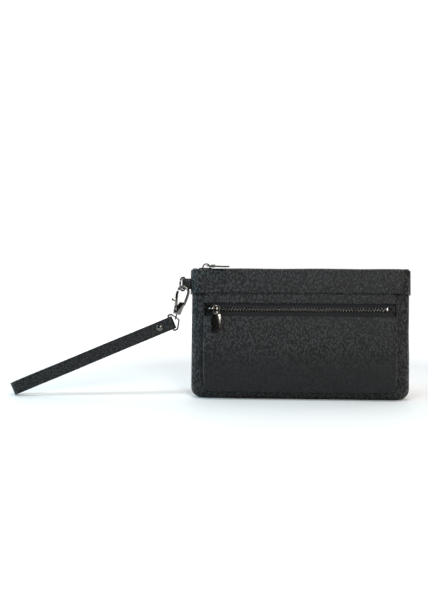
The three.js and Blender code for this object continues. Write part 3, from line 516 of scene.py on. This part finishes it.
def lining(facing, name, node):
    _, high = limits(node)
    outer, inner = LEATHER + GAP, LEATHER + GAP + 0.5
    rows = [("turn", k / 5 * math.pi / 2) for k in range(6)]
    rows += [("wall", z) for z in steps_between(BASE_ROUND, high.z, 24)[1:]]

    def place(column, row, layer):
        inset = outer if layer else inner
        kind, value = row
        turn = value if kind == "turn" else math.pi / 2
        z = value if kind == "wall" else BASE_ROUND - (BASE_ROUND - inset) * math.cos(turn)
        depth = pouch_depth(z) - inset
        depth = lerp(1.2, depth, math.sin(turn)) + ripple(column[2] * 100, facing, z, 16, 0.1)
        rim = half_width(z) - CORNER_RADIUS + (CORNER_RADIUS - inset) * math.sin(turn)
        x = across(column, rim - SIDE_REACH + inset, SIDE_REACH - inset)
        return x, facing * (SEAM + (depth - SEAM) * math.cos(column[1])), z

    bm = sheet_bmesh(side_columns(5, 40), rows, place)
    return finish_piece(name, bm, "pouch", cloth, [node], levels=1)


lining(-1, "cloth_lining_front", "front_lining")
lining(1, "cloth_lining_back", "back_lining")
CARDS = {"card_panel": (cloth, "lining"), "card_slot_1": (hide, "leather"),
         "card_slot_2": (hide, "leather"), "card_slot_3": (hide, "leather")}
for order, (node, (material, slot)) in enumerate(CARDS.items()):
    low, high = limits(node)
    start = LEATHER + 2 * GAP + 0.5 + order * (0.5 + GAP)
    wall_sheet("fine_" + node, node, high.x, lambda z, s=start: pouch_depth(z) - s,
               low.z, high.z, 0.5, material)
for node, inset, sign in (("pocket_front_lining", LEATHER + GAP, 1), ("pocket_back_lining", 0, -1)):
    low, high = limits(node)
    if sign > 0:
        def depth_at(z):
            return -(pocket_depth(z) - LEATHER - GAP - 0.5)
    else:
        def depth_at(z):
            return -(pouch_depth(z) + GAP)
    wall_sheet("fine_" + node, node, high.x, depth_at, low.z, high.z, 0.5, cloth)


def refined(node, material, bevel_mm, rounds=3, levels=0, angle=28):
    """A node's own outline with its edges eased, as pressed, cast or skived stock has them."""
    bm = bmesh.new()
    bm.from_mesh(frame["nodes"][node].data)
    bmesh.ops.remove_doubles(bm, verts=bm.verts, dist=2e-6)
    bmesh.ops.dissolve_limit(bm, angle_limit=math.radians(0.6), verts=bm.verts, edges=bm.edges)
    mesh = bpy.data.meshes.new("fine_" + node)
    bm.to_mesh(mesh)
    bm.free()
    piece = bpy.data.objects.new("fine_" + node, mesh)
    bpy.context.scene.collection.objects.link(piece)
    ease = piece.modifiers.new("ease", "BEVEL")
    ease.width, ease.segments = bevel_mm * MM, rounds
    ease.limit_method, ease.angle_limit = "ANGLE", math.radians(angle)
    ease.harden_normals = False
    if levels:
        piece.modifiers.new("round", "SUBSURF").levels = levels
    bake(piece)
    for polygon in piece.data.polygons:
        polygon.use_smooth = True
    piece.data.set_sharp_from_angle(angle=math.radians(40))
    piece.data.materials.clear()
    piece.data.materials.append(material)
    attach(piece, BODY_OF[node])
    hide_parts(node)
    return piece


for node in ("side_tab", "zip_end_left", "zip_end_right"):
    refined(node, strap_hide, 0.3, 3)


# ---- Hardware ------------------------------------------------------------------------------------
EASED = {
    "front_zip_slider": 0.3, "top_zip_slider": 0.3, "front_zip_pull_tab": 0.28, "top_zip_pull_tab": 0.28,
    "hook_body": 0.35, "hook_gate": 0.3, "hook_gate_pin": 0.15, "hook_spring": 0.08, "hook_swivel": 0.2,
    "rivet_post": 0.2, "front_zip_bottom_stop": 0.2, "top_zip_bottom_stop": 0.2,
    "top_zip_top_stop_front": 0.2, "top_zip_top_stop_back": 0.2,
}
for node, width in EASED.items():
    refined(node, gunmetal, width)


def wire_piece(node):
    """A bent wire: the node's coarse tube, rounded."""
    bm = bmesh.new()
    bm.from_mesh(frame["nodes"][node].data)
    bmesh.ops.remove_doubles(bm, verts=bm.verts, dist=2e-6)
    bmesh.ops.join_triangles(bm, faces=bm.faces, angle_face_threshold=1.2, angle_shape_threshold=1.2)
    return finish_piece("fine_" + node, bm, BODY_OF[node], gunmetal, [node], levels=2)


for node in ("front_zip_pull_bail", "top_zip_pull_bail", "d_ring", "strap_ring"):
    wire_piece(node)


# ---- Zips ----------------------------------------------------------------------------------------
TOOTH_PITCH = 3
TOOTH_WIDTH = 1.25
TOOTH_TIP = -0.9
TOOTH_ROOT = 2.5
CHAIN_HALF = 1.2
TILT = math.radians(POCKET_TILT)


def zip_frame(origin, across_chain, outward):
    """Local X along the chain, Y across it and Z out of its face."""
    x = Vector((1, 0, 0))
    turn = Matrix((x, Vector(across_chain), Vector(outward))).transposed().to_4x4()
    return Matrix.Translation(Vector(origin) * MM) @ turn


UP_THE_FACE = (0, math.sin(TILT), math.cos(TILT))
OUT_OF_THE_FACE = (0, -math.cos(TILT), math.sin(TILT))
FRONT_ZIP = zip_frame((0, -13.01, 90), UP_THE_FACE, OUT_OF_THE_FACE)
TOP_ZIP = zip_frame((0, 0, 128.1), (0, 1, 0), (0, 0, 1))


def tooth(bm, x, side):
    """One cast tooth: a clasp round the tape with a narrower rounded head."""
    profile = [(TOOTH_ROOT, 0.78), (TOOTH_ROOT - 0.5, 1.0), (1.2, 1.0), (0.4, 0.72), (TOOTH_TIP + 0.3, 0.95),
               (TOOTH_TIP, 0.6)]
    rings = []
    for n, share in profile:
        w, h = TOOTH_WIDTH / 2 * share, CHAIN_HALF * (0.75 if n in (TOOTH_ROOT, TOOTH_TIP) else 1)
        corners = ((-w, -h), (-w * 0.6, -h * 1.04), (w * 0.6, -h * 1.04), (w, -h),
                   (w, h), (w * 0.6, h * 1.04), (-w * 0.6, h * 1.04), (-w, h))
        rings.append([bm.verts.new(Vector((x + TOOTH_WIDTH / 2 + a, side * n, b)) * MM) for a, b in corners])
    for first, second in zip(rings, rings[1:]):
        for k in range(8):
            bm.faces.new((first[k], first[(k + 1) % 8], second[(k + 1) % 8], second[k]))
    bm.faces.new(rings[0][::-1])
    bm.faces.new(rings[-1])


def teeth(node, place, side):
    low, high = limits(node)
    bm = bmesh.new()
    x = low.x + 0.2 + (0 if side > 0 else TOOTH_PITCH / 2)
    while x + TOOTH_WIDTH < high.x:
        tooth(bm, x, side)
        x += TOOTH_PITCH
    bm.transform(place)
    return finish_piece("fine_" + node, bm, "pouch", tooth_metal, [node], levels=1)


def tape_strip(node, place, side, outer):
    """A zip tape, with the cord along its inner edge that the teeth clasp."""
    low, high = limits(node)
    columns = steps_between(low.x, high.x, 90)
    rows = [2.2, 2.5, 2.9, 3.3] + steps_between(3.8, outer, 8)

    def place_point(x, n, layer):
        bead = 0.3 * math.exp(-((n - 2.6) / 0.35) ** 2)
        wave = ripple(x, n, 4 * side, 15, 0.08)
        return x, side * n, wave + (1 if layer else -1) * (0.24 + bead)

    bm = sheet_bmesh(columns, rows, place_point)
    bm.transform(place)
    return bm


for side, label in ((1, "upper"), (-1, "lower")):
    teeth("front_zip_teeth_" + label, FRONT_ZIP, side)
    node = "front_zip_tape_" + label
    strip = tape_strip(node, FRONT_ZIP, side, 11)
    finish_piece("woven_" + node, strip, "pouch", tape, [node], levels=1)
for side, label in ((1, "back"), (-1, "front")):
    teeth("top_zip_teeth_" + label, TOP_ZIP, side)
    refined("top_zip_tape_" + label, tape, 0.12, 2)


# ---- Strap ---------------------------------------------------------------------------------------
def frame_matrix(origin, x_axis):
    x = Vector(x_axis).normalized()
    y = Vector((0, 1, 0))
    return Matrix.Translation(Vector(origin) * MM) @ Matrix((x, y, x.cross(y))).transposed().to_4x4()


STRAP_FRAME = frame_matrix((-129.368, -4.441, 75.008), (0.9212, 0, 0.3891))


def strap_gap(along):
    opening = smoothstep(along, RIVET_FROM_BAR + 6, STRAP_LENGTH - 15)
    return lerp(STRAP_BORE, SEAM, smoothstep(along, 0, 7)) + (STRAP_BIGHT - SEAM) * opening


def strap_line(offset):
    """The closed loop of the strap, seen along its width, moved out by offset."""
    end = STRAP_LENGTH - STRAP_BIGHT - 2 * STRAP_LAYER - GAP
    half = []
    for k in range(11):
        a = lerp(0, math.pi / 2, k / 10)
        half.append(((STRAP_BORE + offset) * math.cos(a), (STRAP_BORE + offset) * math.sin(a)))
    alongs = [1, 2, 3, 4.2, 5.5, 7, 9] + steps_between(11, end - 4, 70)
    half += [(-along, strap_gap(along) + offset) for along in alongs]
    for k in range(13):
        a = lerp(math.pi / 2, math.pi, k / 12)
        half.append((-end + (STRAP_BIGHT + offset) * math.cos(a), (STRAP_BIGHT + offset) * math.sin(a)))
    return half + [(x, -y) for x, y in reversed(half[1:-1])]


def strap_layer(name, node, low, high):
    """One ply of the strap: rounded edges, with slight waviness along it."""
    inner, outer = strap_line(low), strap_line(high)
    half = STRAP_WIDTH / 2
    section = [(-half, 0.5), (-half + 0.12, 0.9), (-half + 0.4, 1), (-half / 2, 1), (0, 1), (half / 2, 1),
               (half - 0.4, 1), (half - 0.12, 0.9), (half, 0.5)]
    section += [(z, 1 - share) for z, share in reversed(section[1:-1])]
    bm = bmesh.new()
    rings = []
    for (ix, iy), (ox, oy) in zip(inner, outer):
        ring = []
        for z, share in section:
            x, y = lerp(ix, ox, share), lerp(iy, oy, share)
            y += ripple(x, 0, z, 22, 0.07) * smoothstep(-x, 18, 40)
            ring.append(bm.verts.new(Vector((x, y, z + ripple(x, 1, 0, 45, 0.16))) * MM))
        rings.append(ring)
    count = len(section)
    for k, ring in enumerate(rings):
        after = rings[(k + 1) % len(rings)]
        for j in range(count):
            bm.faces.new((ring[j], ring[(j + 1) % count], after[(j + 1) % count], after[j]))
    bm.transform(STRAP_FRAME)
    return finish_piece(name, bm, "strap", strap_hide, [node], levels=1)


strap_layer("leather_strap_inner", "strap_inner", 0, STRAP_LAYER)
strap_layer("leather_strap_outer", "strap_outer", STRAP_LAYER + GAP, 2 * STRAP_LAYER + GAP)


def rivet_cap():
    """A spun dome with a rolled rim."""
    profile = [(0, 1.6), (0.8, 1.56), (1.6, 1.36), (2.3, 1.0), (2.7, 0.78), (2.85, 0.72), (3.05, 0.82),
               (3.25, 0.75), (3.4, 0.5), (3.4, 0.15), (3.25, 0), (0, 0)]
    base = -(SEAM + 2 * STRAP_LAYER + 2 * GAP)
    bm = bmesh.new()
    verts = [bm.verts.new(Vector((r, 0, h)) * MM) for r, h in profile]
    edges = [bm.edges.new(pair) for pair in zip(verts, verts[1:])]
    bmesh.ops.spin(bm, geom=verts + edges, axis=(0, 0, 1), cent=(0, 0, 0), steps=48, angle=math.tau)
    bmesh.ops.remove_doubles(bm, verts=bm.verts, dist=1e-6)
    stand = Matrix.Translation(Vector((-RIVET_FROM_BAR, base, 0)) * MM) @ Matrix.Rotation(math.pi / 2, 4, "X")
    bm.transform(STRAP_FRAME @ stand)
    return finish_piece("fine_rivet_cap", bm, "strap", gunmetal, ["rivet_cap"], levels=1)


rivet_cap()


# ---- Floor, lights and camera --------------------------------------------------------------------
FLOOR_GLOW = 0.0


def floor():
    shade = Shader("white_floor")
    shade.link(shade.remap(shade.noise(180), 0.0, 1.0, 0.55, 0.6), "Roughness")
    shade.link(shade.colour(shade.noise(240), (0.9, 0.9, 0.9), (0.94, 0.94, 0.94)), "Base Color")
    shade.surface.inputs["Emission Color"].default_value = (1, 1, 1, 1)
    away = shade.node("VectorMath", {0: shade.place}, operation="LENGTH").outputs["Value"]
    # Painted light: the floor glows, at FLOOR_GLOW near the pouch and rising to 0.6 between 0.28 m and 0.6 m
    # away, so the far floor stays white.
    shade.link(shade.remap(away, 0.28, 0.6, FLOOR_GLOW, 0.6), "Emission Strength")
    bm = bmesh.new()
    bmesh.ops.create_grid(bm, x_segments=20, y_segments=20, size=0.9)
    mesh = bpy.data.meshes.new("floor")
    bm.to_mesh(mesh)
    bm.free()
    plane = bpy.data.objects.new("floor", mesh)
    bpy.context.scene.collection.objects.link(plane)
    mesh.materials.append(shade.material)


def area(name, place, aim, size, watts, colour):
    light = bpy.data.lights.new(name, "AREA")
    light.shape, light.size, light.energy, light.color = "DISK", size, watts, colour
    lamp = bpy.data.objects.new(name, light)
    lamp.location = place
    lamp.rotation_euler = (Vector(aim) - Vector(place)).to_track_quat("-Z", "Y").to_euler()
    bpy.context.scene.collection.objects.link(lamp)


floor()
AIM = (-0.06, 0, 0.07)
ROOM = 0.015  # how bright the room in front of the white backdrop is
area("key_left", (-1.0, -0.35, 0.55), AIM, 0.3, 6.5, (0.52, 0.86, 1.0))
area("fill_right", (0.95, -0.45, 0.6), AIM, 0.3, 1.5, (1.0, 0.9, 0.74))
area("high_front", (0.3, -1.25, 0.72), AIM, 0.4, 8.6, (1, 0.98, 0.93))
area("over_head", (0.0, -0.25, 1.0), AIM, 0.35, 4, (1, 1, 1))

bpy.context.scene.view_settings.view_transform = "Standard"
world = bpy.data.worlds.new("studio")
world.use_nodes = True
sky = world.node_tree
toward = sky.nodes.new("ShaderNodeTexCoord").outputs["Generated"]
split = sky.nodes.new("ShaderNodeSeparateXYZ")
fade = sky.nodes.new("ShaderNodeMapRange")
for key, value in {"From Min": -0.1, "From Max": 0.35, "To Min": ROOM, "To Max": 1.02}.items():
    fade.inputs[key].default_value = value
sky.links.new(toward, split.inputs[0])
sky.links.new(split.outputs["Y"], fade.inputs["Value"])
sky.links.new(fade.outputs["Result"], sky.nodes["Background"].inputs["Strength"])
sky.nodes["Background"].inputs["Color"].default_value = (1, 1, 1, 1)
bpy.context.scene.world = world

camera = bpy.data.objects.new("camera", bpy.data.cameras.new("camera"))
camera.data.lens, camera.data.sensor_width = 66, 36
camera.location = (0.00054, -1.1012, 0.1853)
aim = Vector((-0.0855, -0.008, 0.099))
camera.rotation_euler = (aim - camera.location).to_track_quat("-Z", "Y").to_euler()
bpy.context.scene.collection.objects.link(camera)
bpy.context.scene.camera = camera
